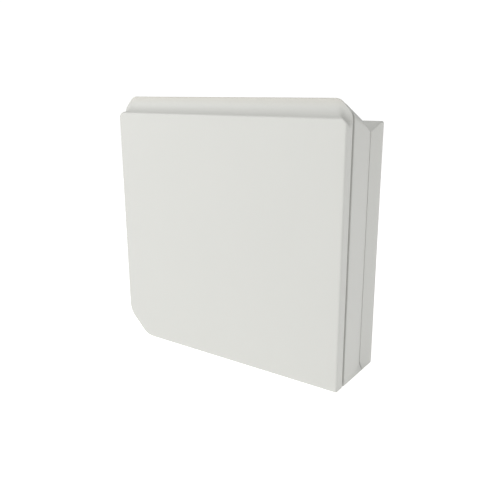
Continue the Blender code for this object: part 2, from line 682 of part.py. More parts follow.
def make_pivot():
    """One long bolt through all four ears, clamped by its nut against the outer pair."""
    outside = OUTER_EAR + SHEET + GAP
    place = facing((1, 0, 0), 0, PIVOT_DEPTH, PIVOT_Z)
    bolt = [(hexagon, 0.0065, -outside - 0.0053), (hexagon, 0.0065, -outside - 0.0012),
            (circle, 0.0080, -outside - 0.0012), (circle, 0.0080, -outside), (circle, 0.0040, -outside),
            (circle, 0.0040, outside + 0.0092), (circle, 0.0034, outside + 0.0100)]
    make_turned("pivot_bolt", place, bolt, "stainless_steel", ROUND)
    nut = [(circle, 0.0080, outside), (circle, 0.0080, outside + 0.0012),
           (hexagon, 0.0065, outside + 0.0012), (hexagon, 0.0065, outside + 0.0072),
           (circle, 0.0043, outside + 0.0072), (circle, 0.0043, outside)]
    make_turned("pivot_nut", place, nut, "stainless_steel", ROUND, ring=True)


def make_locks():
    """Two lock bolts that slide in the curved slots, each with a nut outside."""
    outside = OUTER_EAR + SHEET + GAP
    head = INNER_EAR - GAP
    bolt = [(circle, 0.0040, head - 0.0034), (circle, 0.0056, head - 0.0022), (circle, 0.0056, head),
            (circle, 0.0030, head), (circle, 0.0030, outside + 0.0085)]
    nut = [(circle, 0.0066, outside), (circle, 0.0066, outside + 0.0014),
           (hexagon, 0.0050, outside + 0.0014), (hexagon, 0.0050, outside + 0.0062),
           (circle, 0.0033, outside + 0.0062), (circle, 0.0033, outside)]
    for label, side in (("left", -1), ("right", 1)):
        place = facing((side, 0, 0), 0, PIVOT_DEPTH, PIVOT_Z + LOCK_RADIUS)
        make_turned(f"lock_bolt_{label}", place, bolt, "stainless_steel")
        make_turned(f"lock_nut_{label}", place, nut, "stainless_steel", ring=True)


def make_saddle(name, z):
    """Notched block that seats the mast, drilled for the clamp's legs."""
    back = SADDLE_FRONT + SADDLE_DEPTH
    outline = [(-SADDLE_HALF_WIDTH, SADDLE_FRONT), (SADDLE_HALF_WIDTH, SADDLE_FRONT),
               (SADDLE_HALF_WIDTH, back - 0.004), (SADDLE_HALF_WIDTH - 0.004, back),
               (NOTCH_HALF_WIDTH, back), (0.002, SADDLE_FRONT + SADDLE_BASE),
               (-0.002, SADDLE_FRONT + SADDLE_BASE), (-NOTCH_HALF_WIDTH, back),
               (-SADDLE_HALF_WIDTH + 0.004, back), (-SADDLE_HALF_WIDTH, back - 0.004)]
    bm = bmesh.new()
    levels = (z - SADDLE_HEIGHT / 2, z + SADDLE_HEIGHT / 2)
    skin(bm, [[(x, FACE_Y + depth, level) for x, depth in outline] for level in levels])
    saddle = add_object(name, bm)
    drill(saddle, [(side * U_RADIUS, z, ROD_RADIUS + 0.0005, SADDLE_FRONT - 0.001, back + 0.001)
                   for side in (-1, 1)])
    finish(saddle, "sheet_aluminium")


def make_u_bolt(name, z):
    curve = bpy.data.curves.new(name, "CURVE")
    curve.dimensions = "3D"
    curve.bevel_depth = ROD_RADIUS
    curve.bevel_resolution = 3
    curve.use_fill_caps = True
    points = [(U_RADIUS, ROD_END)] + arc((0, U_CENTRE), U_RADIUS, 0, 180, 15) + [(-U_RADIUS, ROD_END)]
    spline = curve.splines.new("POLY")
    spline.points.add(len(points) - 1)
    for target, (x, depth) in zip(spline.points, points):
        target.co = (x, FACE_Y + depth, z, 1)
    rod = bpy.data.objects.new(name, curve)
    bpy.context.scene.collection.objects.link(rod)
    finish(rod, "stainless_steel")


def make_clamp():
    nut = [(circle, 0.0060, 0), (circle, 0.0060, 0.0010), (hexagon, 0.0050, 0.0010),
           (hexagon, 0.0050, 0.0056), (circle, 0.0034, 0.0056), (circle, 0.0034, 0)]
    for label, sign in (("upper", 1), ("lower", -1)):
        z = PIVOT_Z + sign * CLAMP_OFFSET
        make_saddle(f"saddle_{label}", z)
        make_u_bolt(f"u_bolt_{label}", z)
        for side, direction in (("left", -1), ("right", 1)):
            place = facing((0, -1, 0), direction * U_RADIUS, WEB_FRONT - GAP, z)
            make_turned(f"u_bolt_nut_{label}_{side}", place, nut, "stainless_steel", ring=True)


def main():
    for obj in list(bpy.data.objects):
        bpy.data.objects.remove(obj, do_unlink=True)
    make_radome()
    make_frame()
    make_rear_case()
    make_seals()
    make_housing_screws()
    make_reflector()
    make_feed()
    make_patches()
    make_posts()
    make_cable()
    make_connector()
    make_vent()
    make_panel_bracket()
    make_backing_plate()
    make_bracket_bolts()
    make_pivot()
    make_mast_bracket()
    make_locks()
    make_clamp()


main()
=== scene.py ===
"""Square flat-panel antenna: moulded housing, seals, radiating stack, coaxial jack and tilting mast bracket.

Metres, +Z up.  The radiating face looks along -Y and +X is to the right of it.
"depth" is always counted backwards from the face, and "inset" inwards from the housing's outline.
"""
import json
import math

import bmesh
import bpy
from mathutils import Matrix, Vector


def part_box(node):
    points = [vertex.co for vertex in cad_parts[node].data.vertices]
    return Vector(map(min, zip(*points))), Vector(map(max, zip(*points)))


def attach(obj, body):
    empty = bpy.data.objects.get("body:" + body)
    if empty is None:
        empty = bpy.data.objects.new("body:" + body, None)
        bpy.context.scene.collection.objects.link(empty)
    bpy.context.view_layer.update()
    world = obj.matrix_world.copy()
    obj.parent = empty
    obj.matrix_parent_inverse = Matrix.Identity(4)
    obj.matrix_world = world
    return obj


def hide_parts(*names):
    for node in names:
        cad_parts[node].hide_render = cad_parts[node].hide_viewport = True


bl_info = {
    "name": "Panel Antenna",
    "version": (1, 0, 0),
    "blender": (4, 5, 0),
    "location": "3D View > Sidebar > Antenna",
    "description": "Builds a square panel antenna with its radiating stack and tilting mast bracket",
    "category": "Add Mesh",
}

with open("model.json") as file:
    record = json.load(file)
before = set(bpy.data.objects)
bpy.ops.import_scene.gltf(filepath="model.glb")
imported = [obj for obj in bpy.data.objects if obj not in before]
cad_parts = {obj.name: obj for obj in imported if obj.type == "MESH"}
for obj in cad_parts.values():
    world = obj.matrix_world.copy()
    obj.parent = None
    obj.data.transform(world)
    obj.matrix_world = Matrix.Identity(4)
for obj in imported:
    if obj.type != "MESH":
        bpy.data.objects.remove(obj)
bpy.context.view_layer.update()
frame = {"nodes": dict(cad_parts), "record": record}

FACE_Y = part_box("front_radome")[0].y
HALF_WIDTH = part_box("front_radome")[1].x
RIDGE_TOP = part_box("front_radome")[1].z
RIM_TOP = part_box("rear_case")[1].z


def depth_span(node):
    """First and last depth of a node, counted from the face."""
    low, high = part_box(node)
    return low.y - FACE_Y, high.y - FACE_Y


def centre(node):
    low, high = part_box(node)
    return (low + high) / 2


RADOME_BACK = depth_span("front_radome")[1]
FRAME_FRONT, FRAME_BACK = depth_span("antenna_frame")
CASE_FRONT, CASE_BACK = depth_span("rear_case")
SEAL_GAP = 0.0003
SHARP_ANGLE = 38       # degrees
OVERCUT = 0.001        # how far a cutter reaches past the wall that it cuts
COLUMN_RADIUS = 0.0058
SCREW_HOLE = 0.0024
SCREW_TIP_HOLE = 0.0021
SCREW_SEAT = 0.0047
SEAT_DEPTH = 0.0040
SMALL_SCREW_HOLE = 0.0019
BOLT_HOLE = 0.0036
JACK_HOLE = 0.0083
VENT_HOLE = 0.0040


# ---------------------------------------------------------------- settings

def length(name, description, default):
    return bpy.props.FloatProperty(name=name, description=description, default=default, min=0.0,
                                   precision=4, subtype="DISTANCE", unit="LENGTH")


def colour(name, description, default):
    return bpy.props.FloatVectorProperty(name=name, description=description, default=default, size=3,
                                         min=0.0, max=1.0, subtype="COLOR")


class AntennaHousingSettings(bpy.types.PropertyGroup):
    face_top: length("Face Top", "Height of the bend between the face and the cove", 0.2975)
    ridge_depth: length("Ridge Depth", "Depth of the cove's upper end", 0.0121)
    ridge_round: length("Ridge Round", "Radius along the ridge", 0.0012)
    valley_top: length("Valley Top", "Height of the top where the frame meets the rear case", 0.2818)
    valley_recess: length("Valley Recess", "How far the sides step in at the rear seam", 0.0038)
    recess_fade: length("Recess Fade", "Height above the base over which the recess fades out", 0.0100)
    side_break: length("Side Break", "Depth where the sides start to lean in", 0.0447)
    rim_depth: length("Rim Depth", "Depth where the rear case is full width again", 0.0836)
    base_cut: length("Base Cut", "Size of the cut at the lower left corner", 0.0305)
    base_ease: length("Base Ease", "Rounding at both ends of the base cut", 0.0105)
    top_cut_face: length("Top Cut at Face", "Size of the upper corner cuts at the face", 0.0040)
    top_cut_ridge: length("Top Cut at Ridge", "Size of the upper corner cuts at the ridge", 0.0147)
    top_cut_rear: length("Top Cut at Rear", "Size of the upper corner cuts behind the valley", 0.0016)
    side_round: length("Corner Round", "Rounding of the square lower corner", 0.0015)
    wall: length("Wall", "Wall thickness of the shells", 0.0030)
    face_round: length("Face Round", "Radius round the face's border", 0.0024)
    back_round: length("Back Round", "Radius round the back's border", 0.0034)


class AntennaFinishSettings(bpy.types.PropertyGroup):
    shell: colour("Shell", "Moulded housing plastic", (0.618, 0.620, 0.590))
    # Painted shade and warm painted reflection along the ridge: darker and browner than the shell colour.
    shell_ridge_shade: colour("Shell in Painted Ridge Shade", "Housing plastic with painted shade and warm reflection along the ridge", (0.60, 0.575, 0.51))
    seal: colour("Seal", "Pale silicone seals", (0.42, 0.42, 0.40))
    vent: colour("Vent", "Vent plug plastic", (0.055, 0.057, 0.06))
    nylon: colour("Nylon", "Natural nylon posts", (0.78, 0.75, 0.66))
    board: colour("Board", "Solder mask of the feed board", (0.02, 0.16, 0.07))
    copper: colour("Copper", "Patches and feed line", (0.80, 0.44, 0.28))
    aluminium: colour("Aluminium", "Sheet and cast aluminium", (0.74, 0.75, 0.76))
    steel: colour("Steel", "Stainless fasteners", (0.62, 0.61, 0.59))
    plating: colour("Plating", "Nickel plating of the jack", (0.70, 0.68, 0.62))
    gold: colour("Contact", "Plated centre contact", (0.83, 0.62, 0.25))
    insulator: colour("Insulator", "White insulator of the jack", (0.86, 0.86, 0.83))
    jacket: colour("Jacket", "Jacket of the inner cable", (0.28, 0.13, 0.06))


class AntennaStageSettings(bpy.types.PropertyGroup):
    yaw: bpy.props.FloatProperty(name="Yaw", description="How far the camera looks to the left",
                                 default=math.radians(34.84), subtype="ANGLE", unit="ROTATION")
    pitch: bpy.props.FloatProperty(name="Pitch", description="How far the camera looks down",
                                   default=math.radians(15.17), subtype="ANGLE", unit="ROTATION")
    roll: bpy.props.FloatProperty(name="Roll", description="Tilt of the camera about its line of sight",
                                  default=math.radians(-0.16), subtype="ANGLE", unit="ROTATION")
    place: bpy.props.FloatVectorProperty(name="Place", description="Place, in housing widths from the face",
                                         default=(1.314, -1.692, 1.021), size=3)
    lens: bpy.props.FloatProperty(name="Lens", description="Focal length on a 36 mm sensor",
                                  default=42.67, unit="CAMERA")


def housing_settings():
    return bpy.context.scene.antenna_housing


def finishes():
    return bpy.context.scene.antenna_finishes


# ---------------------------------------------------------------- node groups and materials

def new_group(name, inputs, outputs):
    """Shader node group with (label, socket type, default) inputs and (label, socket type) outputs."""
    group = bpy.data.node_groups.new(name, "ShaderNodeTree")
    for label, kind, default in inputs:
        socket = group.interface.new_socket(label, in_out="INPUT", socket_type=kind)
        if default is not None:
            socket.default_value = default
    for label, kind in outputs:
        group.interface.new_socket(label, in_out="OUTPUT", socket_type=kind)
    return group, group.nodes.new("NodeGroupInput"), group.nodes.new("NodeGroupOutput")


def stretched_noise(tree, vector, scale, detail):
    """Noise whose three scales come from a vector socket."""
    multiply = tree.nodes.new("ShaderNodeVectorMath")
    multiply.operation = "MULTIPLY"
    noise = tree.nodes.new("ShaderNodeTexNoise")
    noise.inputs["Scale"].default_value = 1.0
    noise.inputs["Detail"].default_value = detail
    tree.links.new(vector, multiply.inputs[0])
    tree.links.new(scale, multiply.inputs[1])
    tree.links.new(multiply.outputs["Vector"], noise.inputs["Vector"])
    return noise.outputs["Fac"]


def make_grain_group():
    """Fine surface grain and slow mottling; both run from 0 to 1."""
    group, start, end = new_group(
        "Surface Grain",
        [("Vector", "NodeSocketVector", None), ("Grain Scale", "NodeSocketVector", (2200.0, 2200.0, 2200.0)),
         ("Mottle Scale", "NodeSocketVector", (18.0, 18.0, 18.0))],
        [("Grain", "NodeSocketFloat"), ("Mottle", "NodeSocketFloat")])
    grain = stretched_noise(group, start.outputs["Vector"], start.outputs["Grain Scale"], 3.0)
    mottle = stretched_noise(group, start.outputs["Vector"], start.outputs["Mottle Scale"], 2.0)
    group.links.new(grain, end.inputs["Grain"])
    group.links.new(mottle, end.inputs["Mottle"])
    return group


def make_wear_group():
    """Mask of the convex rims that get rubbed, broken up by noise."""
    group, start, end = new_group(
        "Rubbed Rims", [("Vector", "NodeSocketVector", None), ("Break Up", "NodeSocketFloat", 300.0)],
        [("Mask", "NodeSocketFloat")])
    geometry = group.nodes.new("ShaderNodeNewGeometry")
    rims = group.nodes.new("ShaderNodeMapRange")
    rims.inputs["From Min"].default_value = 0.52
    rims.inputs["From Max"].default_value = 0.60
    noise = group.nodes.new("ShaderNodeTexNoise")
    multiply = group.nodes.new("ShaderNodeMath")
    multiply.operation = "MULTIPLY"
    group.links.new(geometry.outputs["Pointiness"], rims.inputs["Value"])
    group.links.new(start.outputs["Vector"], noise.inputs["Vector"])
    group.links.new(start.outputs["Break Up"], noise.inputs["Scale"])
    group.links.new(rims.outputs["Result"], multiply.inputs[0])
    group.links.new(noise.outputs["Fac"], multiply.inputs[1])
    group.links.new(multiply.outputs["Value"], end.inputs["Mask"])
    return group


def make_band_group():
    """Mask that rises from 0 to 1 between two heights."""
    group, start, end = new_group(
        "Height Band", [("Vector", "NodeSocketVector", None), ("Low", "NodeSocketFloat", 0.0),
                        ("High", "NodeSocketFloat", 1.0)], [("Mask", "NodeSocketFloat")])
    split = group.nodes.new("ShaderNodeSeparateXYZ")
    ramp = group.nodes.new("ShaderNodeMapRange")
    ramp.interpolation_type = "SMOOTHSTEP"
    group.links.new(start.outputs["Vector"], split.inputs["Vector"])
    group.links.new(split.outputs["Z"], ramp.inputs["Value"])
    group.links.new(start.outputs["Low"], ramp.inputs["From Min"])
    group.links.new(start.outputs["High"], ramp.inputs["From Max"])
    group.links.new(ramp.outputs["Result"], end.inputs["Mask"])
    return group


GROUP_MAKERS = {"Surface Grain": make_grain_group, "Rubbed Rims": make_wear_group,
                "Height Band": make_band_group}


class Finish:
    """A material under construction: its tree, its shader and its object coordinates."""

    def __init__(self, name, roughness, metallic=0.0):
        self.material = bpy.data.materials.new(name)
        self.material.use_nodes = True
        self.tree = self.material.node_tree
        self.shader = self.tree.nodes["Principled BSDF"]
        self.shader.inputs["Roughness"].default_value = roughness
        self.shader.inputs["Metallic"].default_value = metallic
        self.coordinates = self.tree.nodes.new("ShaderNodeTexCoord").outputs["Object"]

    def group(self, name, **values):
        """Place a shared node group that reads the object coordinates."""
        tree = bpy.data.node_groups.get(name) or GROUP_MAKERS[name]()
        node = self.tree.nodes.new("ShaderNodeGroup")
        node.node_tree = tree
        self.tree.links.new(self.coordinates, node.inputs["Vector"])
        for label, value in values.items():
            node.inputs[label.replace("_", " ")].default_value = value
        return node

    def mix(self, mask, first, second):
        """Colour that goes from the first to the second as the mask rises; either may be a socket."""
        mix = self.tree.nodes.new("ShaderNodeMix")
        mix.data_type = "RGBA"
        self.tree.links.new(mask, mix.inputs["Factor"])
        for label, value in (("A", first), ("B", second)):
            socket = next(s for s in mix.inputs if s.name == label and s.type == "RGBA")
            if isinstance(value, bpy.types.NodeSocket):
                self.tree.links.new(value, socket)
            else:
                socket.default_value = (*value, 1.0)
        return next(s for s in mix.outputs if s.type == "RGBA")

    def scaled(self, value, low, high):
        """Map a 0 to 1 value to another range."""
        ramp = self.tree.nodes.new("ShaderNodeMapRange")
        ramp.inputs["To Min"].default_value = low
        ramp.inputs["To Max"].default_value = high
        self.tree.links.new(value, ramp.inputs["Value"])
        return ramp.outputs["Result"]

    def colour_from(self, socket):
        self.tree.links.new(socket, self.shader.inputs["Base Color"])

    def roughness_from(self, socket):
        self.tree.links.new(socket, self.shader.inputs["Roughness"])

    def bump_from(self, socket, strength, distance):
        bump = self.tree.nodes.new("ShaderNodeBump")
        bump.inputs["Strength"].default_value = strength
        bump.inputs["Distance"].default_value = distance
        self.tree.links.new(socket, bump.inputs["Height"])
        self.tree.links.new(bump.outputs["Normal"], self.shader.inputs["Normal"])


def even(scale):
    """The same noise scale along all three axes."""
    return scale, scale, scale


def tone(rgb, factor):
    """A colour made darker or lighter."""
    return tuple(min(1.0, channel * factor) for channel in rgb)


def shell_finish():
    """Off-white moulded plastic: spark-eroded grain, slow mottling and painted shade with a warm painted
    reflection along the ridge.
    """
    made = Finish("moulded_shell", 0.46)
    made.shader.inputs["Specular IOR Level"].default_value = 0.42
    colours = finishes()
    grain = made.group("Surface Grain", Grain_Scale=even(1500.0), Mottle_Scale=(14.0, 14.0, 9.0))
    # Painted shade and warm painted reflection: the colour turns darker and browner towards the ridge top.
    ridge = made.group("Height Band", Low=RIDGE_TOP - 0.011, High=RIDGE_TOP + 0.004)
    base = made.mix(grain.outputs["Mottle"], tone(colours.shell, 0.992), tone(colours.shell, 1.012))
    made.colour_from(made.mix(made.scaled(ridge.outputs["Mask"], 0.0, 0.75), base, colours.shell_ridge_shade))
    made.roughness_from(made.scaled(grain.outputs["Grain"], 0.40, 0.54))
    made.bump_from(grain.outputs["Grain"], 0.10, 0.00005)
    return made.material


def seal_finish():
    made = Finish("silicone_seal", 0.62)
    grain = made.group("Surface Grain", Grain_Scale=even(2600.0), Mottle_Scale=even(60.0))
    seal = finishes().seal
    made.colour_from(made.mix(grain.outputs["Mottle"], tone(seal, 0.9), tone(seal, 1.1)))
    made.bump_from(grain.outputs["Grain"], 0.25, 0.00006)
    return made.material


def soft_plastic_finish(name, base, roughness):
    """Small moulded part with a light grain and rubbed rims."""
    made = Finish(name, roughness)
    grain = made.group("Surface Grain", Grain_Scale=even(3000.0), Mottle_Scale=even(90.0))
    wear = made.group("Rubbed Rims", Break_Up=500.0)
    mottled = made.mix(grain.outputs["Mottle"], tone(base, 0.94), tone(base, 1.06))
    made.colour_from(made.mix(made.scaled(wear.outputs["Mask"], 0.0, 0.35), mottled, tone(base, 1.5)))
    made.roughness_from(made.scaled(grain.outputs["Grain"], roughness - 0.08, roughness + 0.10))
    made.bump_from(grain.outputs["Grain"], 0.22, 0.00005)
    return made.material


def metal_finish(name, base, roughness, grain_scale, bump=0.12):
    """Metal with drawn or turned lines: the lines run along the smallest of the three scales."""
    made = Finish(name, roughness, 1.0)
    grain = made.group("Surface Grain", Grain_Scale=grain_scale, Mottle_Scale=even(40.0))
    wear = made.group("Rubbed Rims", Break_Up=400.0)
    mottled = made.mix(grain.outputs["Mottle"], tone(base, 0.90), tone(base, 1.04))
    made.colour_from(made.mix(wear.outputs["Mask"], mottled, tone(base, 1.22)))
    made.roughness_from(made.scaled(grain.outputs["Grain"], roughness - 0.10, roughness + 0.14))
    made.bump_from(grain.outputs["Grain"], bump, 0.00008)
    return made.material


def board_finish():
    made = Finish("feed_board_mask", 0.35)
    made.shader.inputs["Coat Weight"].default_value = 0.3
    grain = made.group("Surface Grain", Grain_Scale=even(900.0), Mottle_Scale=even(35.0))
    board = finishes().board
    made.colour_from(made.mix(grain.outputs["Mottle"], tone(board, 0.8), tone(board, 1.25)))
    made.bump_from(grain.outputs["Grain"], 0.15, 0.00004)
    return made.material


def material_for(slot):
    """The finish of one material slot, made the first time that it is asked for."""
    existing = bpy.data.materials.get(FINISH_NAMES.get(slot, slot))
    return existing or FINISH_MAKERS[slot]()


FINISH_NAMES = {"white_plastic": "moulded_shell", "seal_rubber": "silicone_seal",
                "circuit_board": "feed_board_mask"}
FINISH_MAKERS = {
    "white_plastic": shell_finish,
    "seal_rubber": seal_finish,
    "circuit_board": board_finish,
    "vent_plastic": lambda: soft_plastic_finish("vent_plastic", finishes().vent, 0.50),
    "natural_nylon": lambda: soft_plastic_finish("natural_nylon", finishes().nylon, 0.42),
    "insulator": lambda: soft_plastic_finish("insulator", finishes().insulator, 0.40),
    "cable_jacket": lambda: soft_plastic_finish("cable_jacket", finishes().jacket, 0.34),
    "copper": lambda: metal_finish("copper", finishes().copper, 0.32, (1400.0, 1400.0, 60.0)),
    "sheet_aluminium": lambda: metal_finish("sheet_aluminium", finishes().aluminium, 0.36,
                                            (70.0, 2400.0, 2400.0)),
    "bracket_aluminium": lambda: metal_finish("bracket_aluminium", finishes().aluminium, 0.40,
                                              (1800.0, 1800.0, 55.0)),
    "cast_aluminium": lambda: metal_finish("cast_aluminium", tone(finishes().aluminium, 0.92), 0.52,
                                           even(900.0), 0.35),
    "stainless_steel": lambda: metal_finish("stainless_steel", finishes().steel, 0.26, even(500.0)),
    "plated_brass": lambda: metal_finish("plated_brass", finishes().plating, 0.20, (300.0, 1800.0, 300.0)),
    "brass": lambda: metal_finish("brass", finishes().gold, 0.18, even(600.0)),
}
SLOT_OF = {row["node"]: row["material_slot"] for row in frame["record"]["subparts"]}


# ---------------------------------------------------------------- pieces

def solid(name, bm):
    """Object from a bmesh, with its doubles merged and its faces pointing out."""
    bmesh.ops.remove_doubles(bm, verts=bm.verts, dist=1e-6)
    bmesh.ops.recalc_face_normals(bm, faces=bm.faces)
    mesh = bpy.data.meshes.new(name)
    bm.to_mesh(mesh)
    bm.free()
    obj = bpy.data.objects.new(name, mesh)
    bpy.context.scene.collection.objects.link(obj)
    return obj


def baked(obj):
    """Replace an object's mesh by what its modifiers make of it."""
    graph = bpy.context.evaluated_depsgraph_get()
    mesh = bpy.data.meshes.new_from_object(obj.evaluated_get(graph))
    old = obj.data
    obj.modifiers.clear()
    obj.data = mesh
    bpy.data.meshes.remove(old)
    return obj


def combined(obj, operation, tool):
    """Join a tool to an object, cut it out or keep what both hold, and remove the tool."""
    boolean = obj.modifiers.new(operation.lower(), "BOOLEAN")
    boolean.operation = operation
    boolean.solver = "MANIFOLD"
    boolean.object = tool
    baked(obj)
    bpy.data.objects.remove(tool, do_unlink=True)
    return obj


def eased(obj, width):
    """Break an object's edges with a small bevel."""
    bevel = obj.modifiers.new("eased_edges", "BEVEL")
    bevel.width = width
    bevel.segments = 2
    bevel.limit_method = "ANGLE"
    bevel.angle_limit = math.radians(35)
    bevel.use_clamp_overlap = True
    return baked(obj)


def placed(obj, node):
    """Shade a finished piece, give it its finish, and let it stand for its CAD node."""
    slot = SLOT_OF[node]
    obj.name = f"{node}_piece"
    obj.data.materials.clear()
    obj.data.materials.append(material_for(slot))
    obj.data.shade_smooth()
    obj.data.set_sharp_from_angle(angle=math.radians(SHARP_ANGLE))
    weighted = obj.modifiers.new("even_shading", "WEIGHTED_NORMAL")
    weighted.keep_sharp = True
    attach(obj, node_body(node))
    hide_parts(node)
    return obj


def node_body(node):
    bodies = frame["record"]["behaviour"]["bodies"]
    return next(body for body, nodes in bodies.items() if node in nodes)


def keep_node(node):
    """Show a CAD node as it is, with its finish."""
    obj = frame["nodes"][node]
    obj.data.materials.clear()
    obj.data.materials.append(material_for(SLOT_OF[node]))


def facing(axis, place):
    """Matrix that stands local +Z along a world axis at a place."""
    turn = Vector((0, 0, 1)).rotation_difference(Vector(axis)).to_matrix().to_4x4()
    return Matrix.Translation(place) @ turn


def turned(section, place, steps=36):
    """Closed round body: a (radius, height) section spun about local Z."""
    bm = bmesh.new()
    verts = [bm.verts.new((radius, 0, height)) for radius, height in section]
    edges = [bm.edges.new(pair) for pair in zip(verts, verts[1:])]
    bmesh.ops.spin(bm, geom=verts + edges, cent=(0, 0, 0), axis=(0, 0, 1), dvec=(0, 0, 0),
                   angle=math.tau, steps=steps, use_merge=True, use_duplicate=False)
    bmesh.ops.remove_doubles(bm, verts=bm.verts, dist=1e-6)
    bmesh.ops.transform(bm, matrix=place, verts=bm.verts)
    return bm


def cylinders(holes, segments=32):
    """Cutter made of round bars: each is (place matrix, radius, length) along local Z."""
    bm = bmesh.new()
    for place, radius, long in holes:
        middle = place @ Matrix.Translation((0, 0, long / 2))
        bmesh.ops.create_cone(bm, cap_ends=True, segments=segments, radius1=radius, radius2=radius,
                              depth=long, matrix=middle)
    return solid("cutter", bm)


def prism(outline, long, place):
    """Flat outline in local X and Y, extruded along local Z."""
    bm = bmesh.new()
    face = bm.faces.new([bm.verts.new((x, y, 0)) for x, y in outline])
    made = bmesh.ops.extrude_face_region(bm, geom=[face])["geom"]
    moved = [item for item in made if isinstance(item, bmesh.types.BMVert)]
    bmesh.ops.translate(bm, vec=(0, 0, long), verts=moved)
    bmesh.ops.transform(bm, matrix=place, verts=bm.verts)
    return bm


def arc(middle, radius, start, end, steps):
    """Points along a circle between two angles in degrees."""
    angles = [math.radians(start + (end - start) * i / steps) for i in range(steps + 1)]
    return [(middle[0] + radius * math.cos(a), middle[1] + radius * math.sin(a)) for a in angles]


def filleted(corners, steps=5):
    """Section through (depth, inset, radius) corners, with an arc wherever the radius isn't zero."""
    section = []
    for number, (depth, inset, radius) in enumerate(corners):
        here = Vector((depth, inset))
        if not radius:
            section.append(here)
            continue
        back = (Vector(corners[number - 1][:2]) - here).normalized()
        ahead = (Vector(corners[(number + 1) % len(corners)][:2]) - here).normalized()
        half = back.angle(ahead) / 2
        middle = here + (back + ahead).normalized() * (radius / math.sin(half))
        start = here + back * (radius / math.tan(half)) - middle
        end = here + ahead * (radius / math.tan(half)) - middle
        for step in range(steps + 1):
            section.append(middle + start.slerp(end, step / steps).normalized() * radius)
    return section


def spread(section, pitch):
    """Add stations to the long stretches of a section."""
    result = [section[0]]
    for first, second in zip(section, section[1:]):
        pieces = max(1, math.ceil(abs(second.x - first.x) / pitch))
        result += [first.lerp(second, part / pieces) for part in range(1, pieces + 1)]
    return result


# ---------------------------------------------------------------- housing outline

def interpolate(value, stations):
    """Straight-line interpolation through (position, value) stations."""
    for (start, first), (end, second) in zip(stations, stations[1:]):
        if value <= end:
            share = max(0.0, (value - start) / (end - start))
            return first + (second - first) * share
    return stations[-1][1]


def top_at(s, depth):
    """Height of the housing's top at a depth: cove, ridge, slope, valley and rim."""
    crown = RIDGE_TOP - s.ridge_round
    if depth <= s.ridge_depth:
        rise = math.sqrt(max(0.0, 1 - (depth / s.ridge_depth) ** 2))
        return s.face_top + (crown - s.face_top) * (1 - rise)
    if depth <= s.ridge_depth + s.ridge_round:
        across = 1 - (depth - s.ridge_depth) / s.ridge_round
        return crown + s.ridge_round * math.sqrt(max(0.0, 1 - across ** 2))
    return interpolate(depth, [(s.ridge_depth + s.ridge_round, RIDGE_TOP), (FRAME_BACK, s.valley_top),
                               (CASE_FRONT, s.valley_top), (s.rim_depth, RIM_TOP), (CASE_BACK, RIM_TOP)])


def half_width_at(s, depth):
    valley = HALF_WIDTH - s.valley_recess
    return interpolate(depth, [(s.side_break, HALF_WIDTH), (FRAME_BACK, valley), (CASE_FRONT, valley),
                               (s.rim_depth, HALF_WIDTH)])


def eased_cut(corner, before, after, size, ease, steps):
    """Points that cut a square corner at 45 degrees, with both ends of the cut rounded."""
    corner, before, after = Vector(corner), Vector(before), Vector(after)
    first, last = corner + before * size, corner + after * size
    along = (last - first).normalized()
    points = []
    for start, bend, end in ((first + before * ease, first, first + along * ease),
                             (last - along * ease, last, last + after * ease)):
        for step in range(steps + 1):
            t = step / steps
            points.append(start * (1 - t) ** 2 + bend * 2 * t * (1 - t) + end * t ** 2)
    return points


def housing_ring(s, depth, inset):
    """The housing's outline at a depth, moved inwards by an inset, as points in the world."""
    half = half_width_at(s, depth) - inset
    base_half = HALF_WIDTH - inset
    top = top_at(s, depth) - inset
    lost = inset * (2 - math.sqrt(2))
    top_cut = interpolate(depth, [(0, s.top_cut_face), (s.ridge_depth, s.top_cut_ridge),
                                  (FRAME_BACK, s.top_cut_rear)])
    top_cut = max(top_cut - lost, 0.0006)
    base_cut = s.base_cut - lost
    corner = max(s.side_round - lost, 0.0005)
    left, right, up, down = (-1, 0), (1, 0), (0, 1), (0, -1)
    outline = eased_cut((base_half, inset), left, up, corner, corner * 0.5, 4)
    outline.append(Vector((half, inset + s.recess_fade)))
    outline += eased_cut((half, top), down, left, top_cut, top_cut * 0.4, 8)
    outline += eased_cut((-half, top), right, down, top_cut, top_cut * 0.4, 8)
    outline.append(Vector((-half, inset + base_cut + s.base_ease + s.recess_fade)))
    outline += eased_cut((-base_half, inset), up, right, base_cut, min(s.base_ease, base_cut * 0.6), 12)
    return [Vector((x, FACE_Y + depth, z)) for x, z in outline]


def swept(rings):
    """Surface through a row of outlines: the first is laid down and then extruded into each next one."""
    bm = bmesh.new()
    made = bmesh.ops.create_circle(bm, cap_ends=False, segments=len(rings[0]), radius=1.0)["verts"]
    made = sorted(made, key=lambda vert: math.atan2(vert.co.y, vert.co.x) % math.tau)
    order = {vert: number for number, vert in enumerate(made)}
    for vert, number in order.items():
        vert.co = rings[0][number]
    edges = list(bm.edges)
    for ring in rings[1:]:
        grown = bmesh.ops.extrude_edge_only(bm, edges=edges)["geom"]
        verts = [item for item in grown if isinstance(item, bmesh.types.BMVert)]
        edges = [item for item in grown if isinstance(item, bmesh.types.BMEdge) and item.is_boundary]
        numbered = {}
        for vert in verts:
            source = next(e.other_vert(vert) for e in vert.link_edges if e.other_vert(vert) in order)
            numbered[vert] = order[source]
        for vert, number in numbered.items():
            vert.co = ring[number]
        order = numbered
    return bm


def shell_body(name, s, section, closed):
    """Shell whose section is closed into a ring, or capped with flat faces at both ends."""
    stations = section + [section[0]] if closed else section
    bm = swept([housing_ring(s, depth, inset) for depth, inset in stations])
    if not closed:
        bmesh.ops.holes_fill(bm, edges=[edge for edge in bm.edges if edge.is_boundary], sides=0)
    return solid(name, bm)


def along_depth(x, z, depth):
    return facing((0, 1, 0), (x, FACE_Y + depth, z))


def places_of(*starts):
    """(x, z) of every node whose name starts with one of these."""
    middles = [centre(node) for node in sorted(SLOT_OF) if node.startswith(starts)]
    return [(middle.x, middle.z) for middle in middles]


